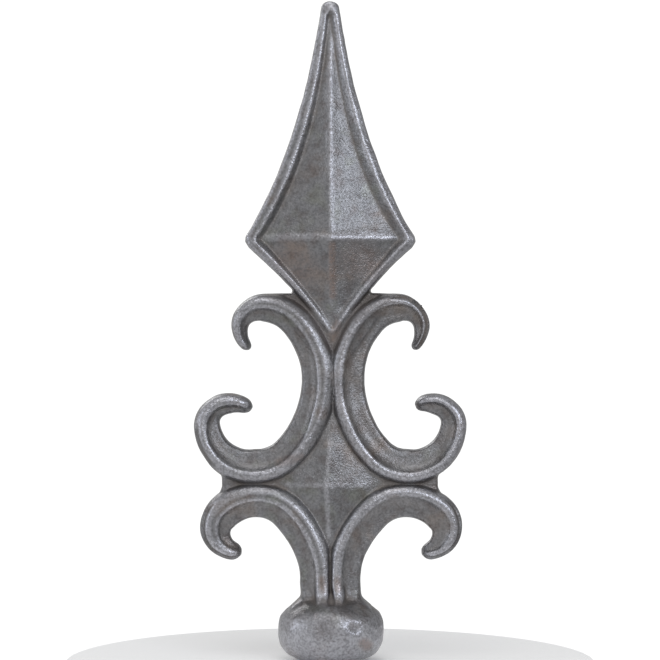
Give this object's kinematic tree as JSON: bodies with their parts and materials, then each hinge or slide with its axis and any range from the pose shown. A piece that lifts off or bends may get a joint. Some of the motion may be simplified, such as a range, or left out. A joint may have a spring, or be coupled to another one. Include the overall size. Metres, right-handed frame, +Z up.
{
  "type": "fence spear finial",
  "caption": "Cast iron spear finial for a fence or gate: concave-sided spearhead with a raised rim on back-to-back scrolls, above a bulb with a flat weld face.",
  "frame": {"origin": "centre of the bulb's flat underside, where the finial is welded to its fence bar", "axes": "+Z up from the weld face to the tip of the spear, front face towards -Y, the scrolls spread along X"},
  "size_m": [0.1038, 0.035, 0.25],
  "materials": {
    "cast_iron": "bare tumbled iron, dull grey with bright worn ridges"
  },
  "bodies": {
    "root": {"spear_finial": "cast_iron"}
  },
  "joints": []
}
